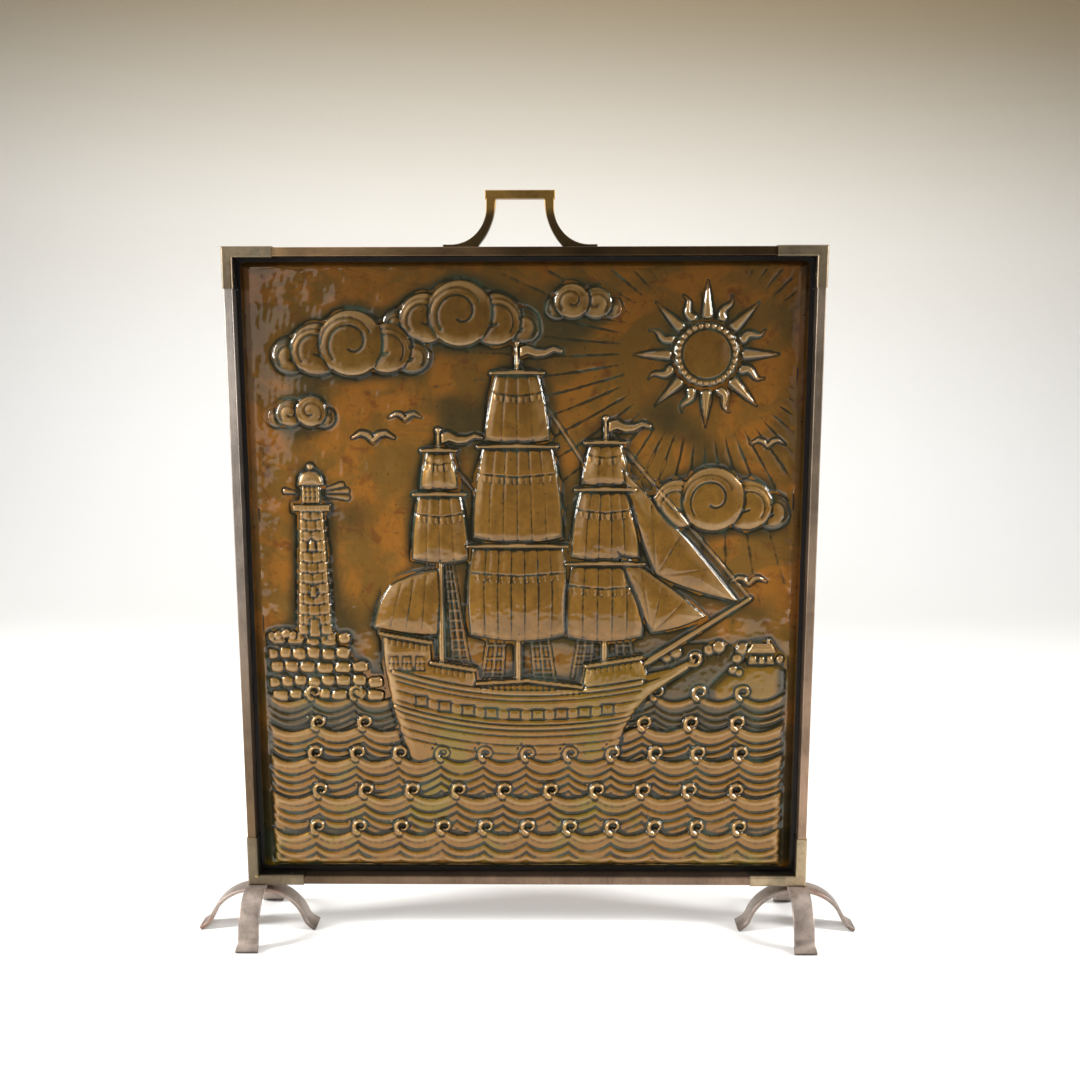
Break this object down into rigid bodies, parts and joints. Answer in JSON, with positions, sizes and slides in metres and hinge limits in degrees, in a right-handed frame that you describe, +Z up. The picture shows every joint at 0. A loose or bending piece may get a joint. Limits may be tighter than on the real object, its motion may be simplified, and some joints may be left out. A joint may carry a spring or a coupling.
{
  "type": "fire guard",
  "caption": "Free-standing fire guard: an embossed copper panel in a narrow metal frame with wrapped corners, a fixed carrying handle and feet of crossed, arched straps.",
  "frame": {"origin": "on the floor, midway between the feet and under the middle of the frame's depth", "axes": "+Z up, the embossed front faces -Y, +X to the viewer's right when looking at the front"},
  "size_m": [0.7246, 0.13, 0.7925],
  "materials": {
    "dark_bronzed_copper": "dark brown patina over folded copper sheet, satin",
    "bronzed_copper": "greyish brown patina over folded sheet, satin",
    "olive_brass": "olive brown tarnished brass sheet",
    "pin_brass": "small tarnished brass pins",
    "handle_brass": "cast brass, dark olive tarnish",
    "aged_copper": "embossed copper, golden brown patina, polished high spots",
    "board_wood": "plain board inside the panel",
    "tack_brass": "small tacks",
    "backing_wood": "stained plywood",
    "screw_brass": "countersunk brass screws",
    "clip_steel": "dulled steel clips and screws",
    "foot_bronze": "mauve brown patina on thick brass strap, satin"
  },
  "bodies": {
    "root": {"top_rail": "dark_bronzed_copper", "bottom_rail": "bronzed_copper", "left_stile": "bronzed_copper", "right_stile": "bronzed_copper", "corner_sleeve_top_left": "olive_brass", "corner_sleeve_top_right": "olive_brass", "corner_sleeve_bottom_left": "olive_brass", "corner_sleeve_bottom_right": "olive_brass", "sleeve_pins": "pin_brass", "carrying_handle": "handle_brass", "handle_rivets": "handle_brass", "relief_panel": "aged_copper", "core_board": "board_wood", "panel_tacks": "tack_brass", "backing_board": "backing_wood", "backing_screws": "screw_brass", "board_clips": "clip_steel", "clip_screws": "clip_steel", "left_foot_long_strap": "foot_bronze", "left_foot_cross_strap": "foot_bronze", "left_foot_rivet": "foot_bronze", "right_foot_long_strap": "foot_bronze", "right_foot_cross_strap": "foot_bronze", "right_foot_rivet": "foot_bronze"}
  },
  "joints": []
}
